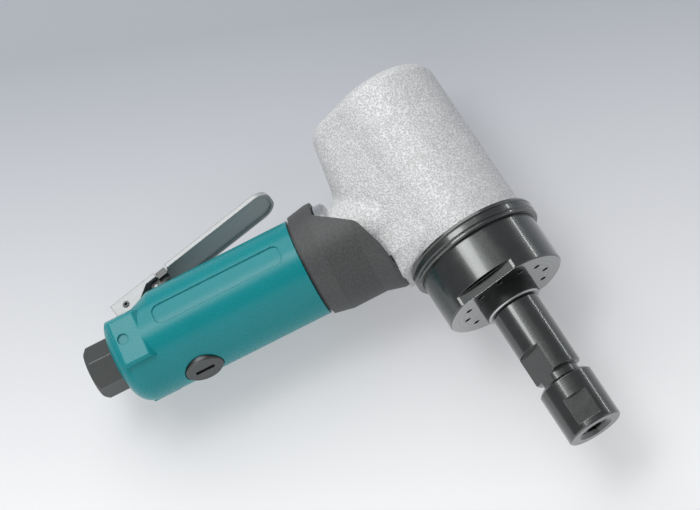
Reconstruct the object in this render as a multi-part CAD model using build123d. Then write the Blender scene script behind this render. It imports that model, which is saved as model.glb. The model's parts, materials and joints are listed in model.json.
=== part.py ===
from build123d import *
from math import cos, pi, radians, sin, sqrt, tan
import os

# Right-angle air die grinder, lying on its side. Millimetres.
# The spindle axis is Y and points to -Y. The origin is the collet's nose on that axis.
# Z = 0 holds the spindle axis and the handle axis. The handle runs back to -X, rises by the offset
# angle and is turned a little about its own axis.

# Clearances
press_fit = 0.03
slip_fit = 0.06
running_fit = 0.08
thread_fit = 0.12
loose_fit = 0.3
lever_side_gap = 0.7
shank_fit = 0.025
over = 1.0

# Collet and its cap
shank_radius = 3.175
collet_length = 20.0
collet_nose_radius = 5.0
collet_shoulder_radius = 6.2
collet_shoulder_height = 2.6
collet_rear_radius = 4.6
collet_slit = 0.7
collet_rear_ring = 3.5
cap_radius = 11.2
cap_length = 22.1
cap_overhang = 1.0
cap_mouth_radius = 5.5
cap_mouth_flare = 1.6
cap_chamfer = 1.1
cap_edge = 0.5
cap_mouth_lip = 0.3
cap_press_land = 0.4
cap_flat_across = 20.2
cap_flat_length = 11.0
cap_flat_start = 2.5
cap_flat_turn = 2.7

# Spindle
nose_radius = 7.8
nose_setback = 4.2
nose_showing = 3.7
shank_depth = 45.0
neck_radius = 9.75
neck_length = 31.2
neck_flat_across = 14.3
neck_flat_length = 12.2
neck_flat_turn = 46.7
neck_chamfer = 0.6
seal_radius = 8.3
shaft_shoulder = 0.9
shaft_shoulder_gap = 2.0

# Bearings: bore radius, outer radius, width
nose_bearing = (7.5, 12.0, 5.0)
front_bearing = (6.0, 14.0, 8.0)
rear_bearing = (4.0, 11.0, 7.0)
ball_count = 7
ball_share = 0.3
race_lip_share = 0.5
front_bearing_setback = 5.0
rear_bearing_setback = 0.6

# Bearing sleeve, exhaust cap and lock ring
sleeve_radius = 11.7
sleeve_showing = 6.0
sleeve_flange_radius = 15.0
sleeve_rim = 0.9
clip_thickness = 1.0
clip_depth = 0.8
clip_inset = 1.2
clip_opening = 4.0
sleeve_lip = 1.2
exhaust_step = 1.0
exhaust_length = 20.2
exhaust_floor = 4.8
exhaust_wall = 2.6
exhaust_flange = 2.0
exhaust_flange_step = 0.6
exhaust_edge = 0.6
hole_count = 12
hole_radius = 1.25
hole_circle = 17.7
exhaust_flat_across = 43.0
exhaust_flat_height = 4.0
exhaust_flat_turn = 11.0
ring_wall = 1.38
ring_length = 6.2
ring_lip = 1.0
ring_groove = 0.5
ring_band = 1.6

# Motor
housing_radius = 24.0
housing_wall = 1.45
housing_top = 5.0
housing_edge = 6.2
front_plate = 14.0
cylinder_length = 45.0
cylinder_wall = 5.49
rear_plate = 10.0
disc_spring_gap = 1.2
disc_spring_sheet = 0.6
disc_spring_inset = 1.5
disc_spring_rise = 1.0
inner_ring_room = 3.2
spacer_wall = 2.6
rotor_gap = 2.0
rotor_core = 2.29
rotor_end_gap = 0.15
eccentricity = 1.8
shaft_radius = 4.75
vane_count = 4
vane_thickness = 2.0
vane_tip_gap = 0.2
dowel_radius = 1.2
dowel_inset = 2.49
dowel_bite = 4.0
port_radius = 1.6
port_count = 6
air_slot_length = 18.0
air_slot_width = 6.0
exhaust_slot_height = 3.0
exhaust_slot_width = 14.0
exhaust_slot_pitch = 9.0

# Handle
offset_angle = 7.0
handle_turn = 11.5
handle_rise = 20.2
handle_radius = 20.0
handle_length = 83.4
handle_front = 58.9
handle_rear_edge = 8.5
hex_across = 19.05
hex_length = 11.4
hex_chamfer = 1.6
hex_turn = 5.0
shank_thread_radius = 9.0
shank_thread_length = 14.0
inlet_radius = 5.6
inlet_depth = 13.0
inlet_relief = 3.0
inlet_relief_depth = 0.3
air_radius = 4.0
inlet_seal_setback = 4.5
screen_sheet = 0.8
screen_hole = 0.9
screen_circle = 3.0
screen_holes = 6
rear_air_radius = 3.5
rear_air_drop = 5.0
front_air_radius = 1.4
pad_length = 11.2
pad_setback = 4.1
pad_half = 10.0
pad_reach = 20.0
pad_ramp = 3.5
pad_edge = 1.2
dimple_back = 134.3
dimple_height = 1.0
dimple_radius = 2.15
dimple_depth = 0.8
panel_length = 55.0
panel_height = 8.6
panel_corner = 3.0
panel_depth = 0.5
panel_front_margin = 6.1

# Lever, latch and trench
pivot_back = 130.2
pivot_height = 17.6
pivot_pin_radius = 1.25
pivot_pin_bore = 0.6
lug_radius = 2.1
lug_base = 5.0
lever_rest = 13.3
lever_width = 16.0
lever_sheet = 1.2
lever_crown_gap = 0.35
lever_depth = 1.9
lever_reach = 71.0
lever_heel = 5.6
lever_tip_corner = 6.5
lever_crown_edge = 1.6
ear_radius = 4.0
ear_foot = 3.2
ear_front = 11.0
notch_start = 15.9
notch_length = 5.5
notch_side = 5.0
latch_back = 2.2
latch_pin_radius = 0.8
latch_top_radius = 1.9
latch_foot = 2.0
latch_drop = 6.4
latch_foot_rise = 0.8
latch_nose = 6.9
latch_nose_edge = 0.9
latch_throat = 3.1
latch_throat_drop = 2.4
latch_side_gap = 1.4
latch_wing_reach = 7.4
latch_wing_sink = 0.4
fork_gap = 0.5
tab_sheet = 1.2
tab_inside = 2.9
tab_half = 1.2
tab_drop = 1.5
trench_rear_gap = 2.0
trench_rear_floor = 11.4
trench_rear_length = 12.5
trench_floor = 9.6
trench_front_back = 105.0
trench_ramp = 9.0
saddle_radius = 16.6
saddle_edge = 4.0
saddle_level_back = 129.0
saddle_end_back = 120.6
saddle_margin = 0.3
stop_gap = 0.7
stop_length = 1.6
stop_lead = 1.0

# Throttle valve and regulator, on one cross axis through the handle
valve_back = 112.0
stem_radius = 2.0
stem_gap = 0.25
stem_tip_length = 1.2
stem_tip_taper = 0.9
bush_radius = 4.5
bush_length = 4.0
chamber_radius = 7.0
chamber_neck = 1.2
seat_height = 1.2
seat_thickness = 1.4
seat_bore = 3.4
valve_head_radius = 5.2
valve_head_thickness = 1.8
valve_head_gap = 0.1
spring_wire = 0.8
spring_turns = 5
spring_radius = 3.3
regulator_top = -8.6
regulator_sleeve = 1.0
regulator_sleeve_top = -2.0
regulator_head_radius = 7.8
regulator_head_depth = 2.4
regulator_proud = 0.5
regulator_edge = 0.6
regulator_sill = 0.6
regulator_slot = 2.4
regulator_slot_length = 8.0
regulator_slot_depth = 1.5
ring_section = 0.9

# Neck, collar and coupling
neck_tube_radius = 16.6
spigot_radius = 14.0
spigot_length = 16.0
boss_radius = 14.5
boss_reach_top = 30.4
boss_slope = 11.0
boss_step = 0.3
boss_edge = 6.0
boss_drop = 12.5
boss_round = 4.0
blend_drop = 4.0
rounding_sweep = 80.0
rounding_steps = 4
coupling_radius = 20.2
coupling_length = 5.0
coupling_back = 48.0
coupling_edge = 1.0
collar_peak_radius = 22.4
collar_seam_radius = 20.9
collar_groove = 1.3
collar_groove_radius = 18.6
collar_chamfer = 9.0
collar_bead_radius = 24.0
collar_bead_reach = 9.0
collar_bead_length = 2.0
collar_dip = 0.2
collar_front = 26.5
collar_peak_back = 47.6
collar_shoulder_height = 11.5
collar_shoulder_edge = 4.0
collar_brow_back = 33.0
collar_brow_height = 0.6
collar_brow_edge = 8.0
collar_waist_back = 28.3
collar_waist_height = -12.0
collar_waist_edge = 6.0

# Stations along the spindle axis, from the collet's nose upwards
cap_front = -cap_overhang
cap_rear = cap_front + cap_length
nose_front = nose_setback
neck_front = cap_rear + nose_showing
neck_rear = neck_front + neck_length
sleeve_front = neck_rear + loose_fit
face_y = sleeve_front + sleeve_showing
ring_front = face_y + exhaust_length
ring_rear = ring_front + ring_length
flange_front = ring_front + ring_lip
flange_rear = flange_front + exhaust_flange
floor_y = face_y + exhaust_floor
cylinder_front = flange_rear + front_plate
cylinder_rear = cylinder_front + cylinder_length
plate_rear = cylinder_rear + rear_plate
bore_top = plate_rear + disc_spring_gap
head_top = bore_top + housing_top
cross_y = ring_rear + handle_rise

# Radii that follow from the walls
motor_bore = housing_radius - housing_wall
motor_fit_radius = motor_bore - slip_fit
cylinder_bore = motor_fit_radius - cylinder_wall
rotor_radius = cylinder_bore - rotor_gap
dowel_circle = motor_fit_radius - dowel_inset
exhaust_radius = housing_radius + exhaust_step
flange_radius = exhaust_radius + exhaust_flange_step
cavity_radius = exhaust_radius - exhaust_wall

# Stations along the handle, from the crossing of the two axes: the tail lies at negative x
seam_x = -handle_front
tail_x = seam_x - handle_length
inlet_x = tail_x - hex_length
pivot_x = -pivot_back
valve_x = -valve_back
spigot_rear = seam_x - spigot_length

# Frames: the neck leans by the offset angle, the handle is turned on it, the lever opens by its own angle
neck_frame = Location((0, cross_y, 0), (0, 0, -offset_angle))
grip_frame = neck_frame * Location((0, 0, 0), (-handle_turn, 0, 0))
lever_frame = grip_frame * Location((pivot_x, pivot_height, 0), (0, 0, lever_rest))
crown_under = lug_radius + lever_crown_gap
crown_top = crown_under + lever_sheet
flange_low = crown_top - lever_depth
latch_u = notch_start - latch_back
latch_w = crown_under - latch_top_radius - loose_fit

pieces = {}


def turned(*corners):
    """Solid of revolution about Y from (radius, height) corners."""
    return revolve(make_face(Polyline(*corners, close=True)), Axis.Y)


def ring(inner, outer, low, high):
    """Plain ring about Y."""
    return turned((inner, low), (outer, low), (outer, high), (inner, high))


def disc(radius, low, high):
    """Plain cylinder about Y."""
    return turned((0, low), (radius, low), (radius, high), (0, high))


def barrel(*corners):
    """Solid of revolution about X from (x, radius) corners."""
    return revolve(make_face(Polyline(*corners, close=True)), Axis.X)


def rod(radius, back, front):
    """Plain cylinder about X."""
    return barrel((back, 0), (front, 0), (front, radius), (back, radius))


def block(low, high):
    """Box between two opposite corners."""
    size = [b - a for a, b in zip(low, high)]
    middle = [(a + b) / 2 for a, b in zip(low, high)]
    return Pos(*middle) * Box(*size)


def cross_pin(radius, half_width, x=0.0, y=0.0):
    """Cylinder along Z, centred on the XY plane."""
    return Pos(x, y, 0) * Cylinder(radius, 2 * half_width)


def prism(outline, half_width):
    """Face in the XY plane, drawn out to both sides."""
    return extrude(outline, amount=half_width, both=True)


def around(shape, count, start=0.0):
    """Copies of a shape, evenly spaced about Y."""
    return [Rot(0, start + 360.0 * i / count, 0) * shape for i in range(count)]


def flats(across, radius, low, high, turn):
    """Two opposite cutters that mill flats on a round about Y."""
    cutter = block((-2 * radius, low, across / 2), (2 * radius, high, 2 * radius))
    return [Rot(0, turn + half, 0) * cutter for half in (0, 180)]


def o_ring(major, section):
    """Rubber ring about Y."""
    return Rot(90, 0, 0) * Torus(major, section)


def ball_bearing(name, size, low):
    """Outer ring, inner ring and balls of one bearing that starts at height low."""
    bore, outside, width = size
    pitch = (bore + outside) / 2
    ball = ball_share * (outside - bore)
    lip = race_lip_share * ball
    middle = low + width / 2
    track = Pos(0, middle, 0) * o_ring(pitch, ball + running_fit)
    pieces[name + "_outer_ring"] = ring(pitch + lip, outside, low, low + width) - track
    pieces[name + "_inner_ring"] = ring(bore, pitch - lip, low, low + width) - track
    balls = around(Pos(pitch, middle, 0) * Sphere(ball), ball_count)
    pieces[name + "_balls"] = Compound(children=balls)


def coil(radius, wire, turns, low, high):
    """Compression spring about Y: one tube swept along arcs, two for each quarter turn."""
    steps = 4 * turns
    pitch = (high - low) / turns

    def place(step):
        angle = step * pi / 2
        return Vector(radius * cos(angle), low + pitch * step / 4, radius * sin(angle))

    def heading(step):
        angle = step * pi / 2
        return Vector(-radius * sin(angle), pitch / (2 * pi), radius * cos(angle)).normalized()

    edges = []
    for step in range(steps):
        start, end = place(step), place(step + 1)
        out, back = heading(step), heading(step + 1)
        chord = end - start
        lead = chord.dot(out + back)
        spread = 2 * (1 - out.dot(back))
        reach = (sqrt(lead**2 + spread * chord.dot(chord)) - lead) / spread
        near, beyond = start + out * reach, end - back * reach
        middle = (near + beyond) * 0.5
        edges.append(Edge.make_tangent_arc(start, out, middle))
        edges.append(Edge.make_tangent_arc(middle, beyond - near, end))
    path = Wire(edges)
    section = Plane(path @ 0, z_dir=path % 0) * Circle(wire / 2)
    return sweep(section, path=path)


# Collet: a split taper sleeve that the cap presses into the spindle
taper = (collet_shoulder_radius - collet_rear_radius) / (collet_length - collet_shoulder_height)
collet_bore = shank_radius + shank_fit
collet = turned(
    (collet_bore, 0),
    (collet_nose_radius, 0),
    (collet_shoulder_radius, collet_shoulder_height),
    (collet_rear_radius, collet_length),
    (collet_bore, collet_length),
)
slit_end = collet_length - collet_rear_ring
slit = block((-cap_radius, -over, -collet_slit / 2), (cap_radius, slit_end, collet_slit / 2))
pieces["collet"] = collet - [slit, Rot(0, 90, 0) * slit]

# Spindle: nose thread, gripping neck with two wrench flats, bearing seats and rotor shaft
nose_bearing_y = floor_y
front_bearing_y = cylinder_front - front_bearing[2] - front_bearing_setback
spacer_front = front_bearing_y + front_bearing[2]
rear_bearing_y = plate_rear - rear_bearing[2] - rear_bearing_setback
shaft_end = rear_bearing_y + rear_bearing[2]
mouth = collet_shoulder_radius + slip_fit - taper * (nose_front - collet_shoulder_height)
pocket_end = collet_length + loose_fit
pocket = collet_rear_radius + slip_fit
shoulder_low = nose_bearing_y + nose_bearing[2] + shaft_shoulder_gap
shoulder = front_bearing[0] + shaft_shoulder
spindle = turned(
    (mouth, nose_front),
    (nose_radius - neck_chamfer, nose_front),
    (nose_radius, nose_front + neck_chamfer),
    (nose_radius, neck_front),
    (neck_radius - neck_chamfer, neck_front),
    (neck_radius, neck_front + neck_chamfer),
    (neck_radius, neck_rear - neck_chamfer),
    (neck_radius - neck_chamfer, neck_rear),
    (seal_radius, neck_rear),
    (seal_radius, nose_bearing_y),
    (nose_bearing[0] - press_fit, nose_bearing_y),
    (nose_bearing[0] - press_fit, shoulder_low),
    (shoulder, shoulder_low),
    (shoulder, front_bearing_y),
    (front_bearing[0] - press_fit, front_bearing_y),
    (front_bearing[0] - press_fit, cylinder_front + rotor_end_gap),
    (shaft_radius, cylinder_front + rotor_end_gap),
    (shaft_radius, rear_bearing_y),
    (rear_bearing[0] - press_fit, rear_bearing_y),
    (rear_bearing[0] - press_fit, shaft_end),
    (0, shaft_end),
    (0, shank_depth),
    (collet_bore + loose_fit, shank_depth),
    (collet_bore + loose_fit, pocket_end),
    (pocket, pocket_end),
    (pocket, collet_length),
)
pieces["spindle"] = spindle - flats(
    neck_flat_across, neck_radius, cap_rear, neck_front + neck_flat_length, -neck_flat_turn)

# Collet cap: threaded on the nose, with two closed pockets for the wrench
cap_bore = nose_radius + thread_fit
press_low = collet_shoulder_height + cap_press_land
cap = turned(
    (cap_mouth_radius + cap_mouth_flare, cap_front),
    (cap_radius - cap_edge, cap_front),
    (cap_radius, cap_front + cap_edge),
    (cap_radius, cap_rear - cap_chamfer),
    (cap_radius - cap_chamfer, cap_rear),
    (cap_bore, cap_rear),
    (cap_bore, press_low),
    (collet_shoulder_radius + 2 * thread_fit, press_low),
    (collet_shoulder_radius + 2 * thread_fit, collet_shoulder_height),
    (cap_mouth_radius, cap_mouth_lip),
)
flat_low = cap_front + cap_flat_start
pieces["collet_cap"] = cap - flats(
    cap_flat_across, cap_radius, flat_low, flat_low + cap_flat_length, cap_flat_turn)

# Bearing sleeve: the dark hub, with the nose bearing in its inner end
ball_bearing("nose_bearing", nose_bearing, nose_bearing_y)
ball_bearing("front_bearing", front_bearing, front_bearing_y)
ball_bearing("rear_bearing", rear_bearing, rear_bearing_y)
nose_seat = nose_bearing[1] + press_fit
clip_front = nose_bearing_y + nose_bearing[2] + slip_fit
clip_rear = clip_front + clip_thickness
sleeve_rear = clip_rear + sleeve_lip
groove = nose_seat + clip_depth
pieces["bearing_sleeve"] = turned(
    (seal_radius + loose_fit, sleeve_front),
    (sleeve_radius - sleeve_rim, sleeve_front),
    (sleeve_radius, sleeve_front + sleeve_rim),
    (sleeve_radius, floor_y),
    (sleeve_flange_radius, floor_y),
    (sleeve_flange_radius, sleeve_rear),
    (nose_seat, sleeve_rear),
    (nose_seat, clip_rear + slip_fit),
    (groove, clip_rear + slip_fit),
    (groove, clip_front - slip_fit),
    (nose_seat, clip_front - slip_fit),
    (nose_seat, nose_bearing_y),
    (seal_radius + loose_fit, nose_bearing_y),
)
clip = ring(nose_seat - clip_inset, groove - slip_fit, clip_front, clip_rear)
pieces["bearing_clip"] = clip - block(
    (0, clip_front - over, -clip_opening / 2), (groove + over, clip_rear + over, clip_opening / 2))

# Exhaust cap: a cup with a ring of outlet holes and two wrench flats on its lower rim
exhaust = turned(
    (sleeve_radius + slip_fit, face_y),
    (exhaust_radius - exhaust_edge, face_y),
    (exhaust_radius, face_y + exhaust_edge),
    (exhaust_radius, flange_front),
    (flange_radius, flange_front),
    (flange_radius, flange_rear),
    (cavity_radius, flange_rear),
    (cavity_radius, floor_y),
    (sleeve_radius + slip_fit, floor_y),
)
outlet = Pos(hole_circle, 0, 0) * disc(hole_radius, face_y - over, floor_y + over)
exhaust -= flats(
    exhaust_flat_across, exhaust_radius, face_y - over, face_y + exhaust_flat_height, -exhaust_flat_turn)
pieces["exhaust_cap"] = exhaust - around(outlet, hole_count)
pieces["muffler_felt"] = ring(
    sleeve_flange_radius + loose_fit, cavity_radius - loose_fit, floor_y, flange_rear - loose_fit)

# Lock ring: a grooved nut on the head's thread, whose lip holds the exhaust cap's flange
ring_bore = flange_radius + thread_fit
ring_radius = ring_bore + ring_wall
band_low = ring_front + ring_band
band_high = ring_rear - ring_band
waist = ring_radius - ring_groove
pieces["lock_ring"] = turned(
    (exhaust_radius + thread_fit, ring_front),
    (waist, ring_front),
    (ring_radius, ring_front + ring_groove),
    (ring_radius, band_low - ring_groove),
    (waist, band_low),
    (ring_radius, band_low + ring_groove),
    (ring_radius, band_high - ring_groove),
    (waist, band_high),
    (ring_radius, band_high + ring_groove),
    (waist, ring_rear),
    (ring_bore, ring_rear),
    (ring_bore, flange_front),
    (exhaust_radius + thread_fit, flange_front),
)

# Motor: end plates, cylinder with its bore off centre, rotor, vanes and spacer
port_circle = (cylinder_bore + motor_bore) / 2
outlet_port = Pos(0, 0, port_circle) * disc(port_radius, flange_rear - over, cylinder_front + over)
front_seat = front_bearing[1] + press_fit
front_plate_solid = turned(
    (front_bearing[0] + inner_ring_room, cylinder_front),
    (front_bearing[0] + inner_ring_room, spacer_front),
    (front_seat, spacer_front),
    (front_seat, flange_rear),
    (motor_fit_radius, flange_rear),
    (motor_fit_radius, cylinder_front),
)
dowel_low = cylinder_front - dowel_bite
dowel_high = cylinder_rear + dowel_bite
dowel_place = Rot(0, 90, 0) * Pos(dowel_circle, 0, 0)
dowel_hole = dowel_place * disc(dowel_radius + slip_fit, dowel_low, dowel_high)
ports = around(outlet_port, port_count, 180 / port_count)
pieces["front_end_plate"] = front_plate_solid - ports - dowel_hole
pieces["dowel_pin"] = dowel_place * disc(dowel_radius, dowel_low, dowel_high)
bore = Pos(eccentricity, 0, 0) * disc(cylinder_bore, cylinder_front - over, cylinder_rear + over)
cylinder_middle = (cylinder_front + cylinder_rear) / 2
air_slot = block(
    (-motor_bore, cylinder_middle - air_slot_length / 2, -air_slot_width / 2),
    (-rotor_radius, cylinder_middle + air_slot_length / 2, air_slot_width / 2),
)
exhaust_slot = block(
    (rotor_radius, cylinder_middle - exhaust_slot_height / 2, -exhaust_slot_width / 2),
    (motor_bore, cylinder_middle + exhaust_slot_height / 2, exhaust_slot_width / 2),
)
exhaust_slots = [Pos(0, step * exhaust_slot_pitch, 0) * exhaust_slot for step in (-1, 0, 1)]
pieces["motor_cylinder"] = (
    disc(motor_fit_radius, cylinder_front, cylinder_rear) - bore - air_slot - exhaust_slots - dowel_hole)
rear_seat = rear_bearing[1] + press_fit
pieces["rear_end_plate"] = turned(
    (shaft_radius + loose_fit, cylinder_rear),
    (motor_fit_radius, cylinder_rear),
    (motor_fit_radius, plate_rear),
    (rear_seat, plate_rear),
    (rear_seat, rear_bearing_y),
    (shaft_radius + loose_fit, rear_bearing_y),
) - dowel_hole
spring_rim = motor_fit_radius - disc_spring_inset
pieces["disc_spring"] = turned(
    (rear_seat + disc_spring_rise, bore_top - disc_spring_sheet),
    (spring_rim, plate_rear),
    (spring_rim, plate_rear + disc_spring_sheet),
    (rear_seat + disc_spring_rise, bore_top),
)
rotor_low = cylinder_front + rotor_end_gap
rotor_high = cylinder_rear - rotor_end_gap
vane_tip = rotor_radius - vane_tip_gap
slot_root = shaft_radius + slip_fit + rotor_core
vane_root = slot_root + loose_fit
slot_half = vane_thickness / 2 + running_fit
slot = block((slot_root, rotor_low - over, -slot_half), (rotor_radius + over, rotor_high + over, slot_half))
vane_turn = 180 / vane_count
core = ring(shaft_radius + slip_fit, rotor_radius, rotor_low, rotor_high)
pieces["rotor"] = core - around(slot, vane_count, vane_turn)
vane = block(
    (vane_root, rotor_low, -vane_thickness / 2), (vane_tip, rotor_high, vane_thickness / 2))
pieces["vanes"] = Compound(children=around(vane, vane_count, vane_turn))
pieces["rotor_spacer"] = ring(
    front_bearing[0] + slip_fit, front_bearing[0] + spacer_wall, spacer_front, cylinder_front + rotor_end_gap)


# Motor housing: blasted casting whose back swells into a neck for the handle
def boss_section(height, shrink=0.0):
    """Outline of the swelling at one height: two circles and their common tangents."""
    rise = max(0.0, height - head_top + housing_edge)
    drawn_in = housing_edge - sqrt(housing_edge**2 - rise**2)
    big = housing_radius - boss_step - drawn_in
    small = boss_radius - shrink
    apart = boss_reach_top - boss_radius + (head_top - height) * tan(radians(boss_slope))
    along = (big - small) / apart
    across = sqrt(1 - along**2)
    front, back = (-big * along, big * across), (-apart - small * along, small * across)
    outline = make_face(
        [
            Line(front, back),
            ThreePointArc(back, (-apart - small, 0), (back[0], -back[1])),
            Line((back[0], -back[1]), (front[0], -front[1])),
            ThreePointArc((front[0], -front[1]), (big, 0), front),
        ]
    )
    return Plane((0, height, 0), x_dir=(1, 0, 0), z_dir=(0, -1, 0)) * outline


def rounded_section(share):
    """Outline part of the way round the swelling's upper edge."""
    turn = radians(rounding_sweep * share)
    return boss_section(shoulder_y + boss_round * sin(turn), boss_round * (1 - cos(turn)))


def blend_edges(shape):
    """Edges along which the neck leaves the casting, above the handle's axis."""
    rounds = shape.faces().filter_by(GeomType.CYLINDER)
    necks = [f for f in rounds if abs(f.radius - neck_tube_radius) < slip_fit]
    curves = ShapeList([e for f in necks for e in f.edges().filter_by(GeomType.BSPLINE)])
    return curves.filter_by(lambda e: e.center().Y > cross_y - blend_drop)


def seal(outside):
    """Rubber ring about X, flush with the radius that it seals."""
    return Rot(0, 90, 0) * Torus(outside - ring_section, ring_section)


def seal_groove(outside, x):
    """Square groove about X for such a ring."""
    half = ring_section + slip_fit
    root = outside - 2 * half
    return rod(outside + over, x - half, x + half) - rod(root, x - half, x + half)


shoulder_y = head_top - boss_round
boss_low = cross_y - boss_drop
head = disc(housing_radius, ring_rear, head_top)
head = fillet(head.faces().sort_by(Axis.Y)[-1].edges(), housing_edge)
boss = loft([boss_section(boss_low), boss_section(shoulder_y)])
boss += loft([rounded_section(step / rounding_steps) for step in range(rounding_steps + 1)])
casting = head + boss + neck_frame * rod(neck_tube_radius, seam_x, 0)
casting = casting.fillet(boss_edge, blend_edges(casting))
thread = disc(flange_radius, flange_rear, ring_rear)
spigot = neck_frame * rod(spigot_radius, spigot_rear, seam_x)
motor_room = disc(motor_bore, flange_rear - over, bore_top)
passage = neck_frame * rod(air_radius, spigot_rear - over, 2 * over - motor_bore)
seal_x = spigot_rear + spigot_length / 2
seal_room = neck_frame * seal_groove(spigot_radius, seal_x)
pieces["motor_housing"] = casting + thread + spigot - motor_room - passage - seal_room
pieces["neck_o_ring"] = neck_frame * Pos(seal_x, 0, 0) * seal(spigot_radius)

# Coupling ring: a bright machined ring on the neck, mostly under the collar
coupling_front = coupling_length - coupling_back
coupling = barrel(
    (-coupling_back, neck_tube_radius + slip_fit),
    (-coupling_back, coupling_radius - coupling_edge),
    (coupling_edge - coupling_back, coupling_radius),
    (coupling_front - coupling_edge, coupling_radius),
    (coupling_front, coupling_radius - coupling_edge),
    (coupling_front, neck_tube_radius + slip_fit),
)
pieces["coupling_ring"] = neck_frame * coupling - casting

# Grip collar: a moulded shroud whose front edge sweeps from the lever's side to the lock ring
far = 3 * handle_radius
collar = barrel(
    (seam_x, 0),
    (seam_x, collar_groove_radius),
    (seam_x + collar_groove, collar_groove_radius),
    (seam_x + collar_groove, collar_seam_radius),
    (seam_x + collar_chamfer, collar_peak_radius),
    (-collar_front - collar_bead_reach, collar_peak_radius - collar_dip),
    (-collar_front - collar_bead_length, collar_bead_radius),
    (-collar_front, collar_bead_radius),
    (-collar_front, 0),
)
edge_line = FilletPolyline(
    (-collar_peak_back, far),
    (-collar_peak_back, collar_shoulder_height),
    (-collar_brow_back, collar_brow_height),
    (-collar_waist_back, collar_waist_height),
    (-collar_front, -collar_seam_radius),
    radius=(collar_shoulder_edge, collar_brow_edge, collar_waist_edge),
)
edge_end = edge_line @ 1
edge_cut = make_face([edge_line, Polyline(edge_end, (far, edge_end.Y), (far, far), (-collar_peak_back, far))])
neck_room = rod(neck_tube_radius + slip_fit, seam_x - over, 0)
coupling_room = rod(coupling_radius + slip_fit, -coupling_back - slip_fit, 0)
pieces["grip_collar"] = neck_frame * (collar - prism(edge_cut, far) - neck_room - coupling_room) - casting

# Handle housing: a moulding with side pads and bare panels
body = rod(handle_radius, tail_x, seam_x)
body = fillet(body.edges().sort_by(Axis.X)[0], handle_rear_edge)
pad_rear = tail_x + pad_setback
pad_front = pad_rear + pad_length
pad_drop = handle_radius - sqrt(handle_radius**2 - pad_half**2)
pad_plan = make_face(
    Polyline(
        (pad_rear, 0),
        (pad_rear, pad_reach),
        (pad_front, pad_reach),
        (pad_front + pad_ramp, pad_reach - pad_drop - pad_edge),
        (pad_front + pad_ramp, 0),
        close=True,
    )
)
pad_plane = Plane((0, pad_half, 0), x_dir=(1, 0, 0), z_dir=(0, -1, 0))
pad = extrude(pad_plane * pad_plan, 2 * pad_half)
pad = fillet(pad.faces().sort_by(Axis.Z)[-1].edges(), pad_edge)
pad = Rot(handle_turn, 0, 0) * pad
dimple = Pos(-dimple_back, dimple_height, pad_reach) * Cylinder(dimple_radius, 2 * dimple_depth)
dimple = Rot(handle_turn, 0, 0) * dimple
panel_x = seam_x - panel_front_margin - panel_length / 2
panel = Pos(panel_x, 0) * RectangleRounded(panel_length, panel_height, panel_corner)
recess = extrude(panel, far) - rod(handle_radius - panel_depth, tail_x, seam_x)
handle = body + pad + mirror(pad, Plane.XY)
handle = handle - [dimple, recess, mirror(dimple, Plane.XY), mirror(recess, Plane.XY)]

# Trench for the lever, with a turned saddle that bares its ears, the pivot lug and the latch's stop
lever_half = lever_width / 2
inner_half = lever_half - lever_sheet
trench_half = lever_half + lever_side_gap
trench_rear = pivot_x - lever_heel - trench_rear_gap
trench_deep = trench_rear + trench_rear_length
trench_front = -trench_front_back
trench = make_face(
    Polyline(
        (trench_rear, far),
        (trench_rear, trench_rear_floor),
        (trench_deep, trench_rear_floor),
        (trench_deep, trench_floor),
        (trench_front, trench_floor),
        (trench_front + trench_ramp, handle_radius),
        (trench_front + trench_ramp, far),
        close=True,
    )
)
saddle_line = FilletPolyline(
    (tail_x - over, saddle_radius),
    (-saddle_level_back, saddle_radius),
    (-saddle_end_back, handle_radius),
    radius=saddle_edge,
)
saddle_end = saddle_line @ 1
saddle_start = saddle_line @ 0
saddle_back = Polyline(saddle_end, (saddle_end.X, far), (saddle_start.X, far), saddle_start)
pad_tilt = radians(handle_turn)
pad_top = pad_half * cos(pad_tilt) - (handle_radius - pad_drop) * sin(pad_tilt)
saddle_side = block((saddle_start.X, pad_top + saddle_margin, -far), (saddle_end.X, far, far))
saddle_room = revolve(make_face([saddle_line, saddle_back]), Axis.X) & saddle_side
lug_half = inner_half - (lever_crown_edge - lever_sheet)
lug_foot = trench_floor - loose_fit
lug = make_hull(
    (Pos(pivot_x, pivot_height) * Circle(lug_radius)).edges()
    + Line((pivot_x - lug_base, lug_foot), (pivot_x + lug_base, lug_foot)).edges()
)
foot = (grip_frame.inverse() * lever_frame * Location((latch_u, latch_w - latch_drop, 0))).position
stop = block(
    (foot.X - stop_length, lug_foot, -lug_half),
    (foot.X + stop_lead, foot.Y - stop_gap, lug_half),
)
handle = handle - (prism(trench, trench_half) + saddle_room) + prism(lug, lug_half) + stop
handle = handle - cross_pin(pivot_pin_radius + press_fit, lug_half + over, pivot_x, pivot_height)

# Bores of the handle: inlet thread, air passages, spigot socket and the valve's cross bore
valve_axis = Pos(valve_x, 0, 0)
seat_top = seat_height + seat_thickness
bush_low = trench_floor - bush_length
regulator_face = -(handle_radius + regulator_proud)
regulator_seat = regulator_face + regulator_head_depth
valve_bore = turned(
    (0, trench_floor + over),
    (bush_radius + press_fit, trench_floor + over),
    (bush_radius + press_fit, bush_low),
    (chamber_radius - chamber_neck, bush_low),
    (chamber_radius - chamber_neck, seat_top),
    (chamber_radius, seat_top),
    (chamber_radius, regulator_seat),
    (regulator_head_radius + loose_fit, regulator_seat),
    (regulator_head_radius + loose_fit, -far),
    (0, -far),
)
inlet_front = tail_x + shank_thread_length
inlet_room = rod(shank_thread_radius + slip_fit, tail_x - over, inlet_front)
rear_air = Pos(0, -rear_air_drop, 0) * rod(rear_air_radius, inlet_front - over, valve_x)
front_air = Pos(0, (seat_top + bush_low) / 2, 0) * rod(front_air_radius, valve_x, spigot_rear)
socket = rod(spigot_radius + slip_fit, spigot_rear - loose_fit, seam_x + over)
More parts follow.
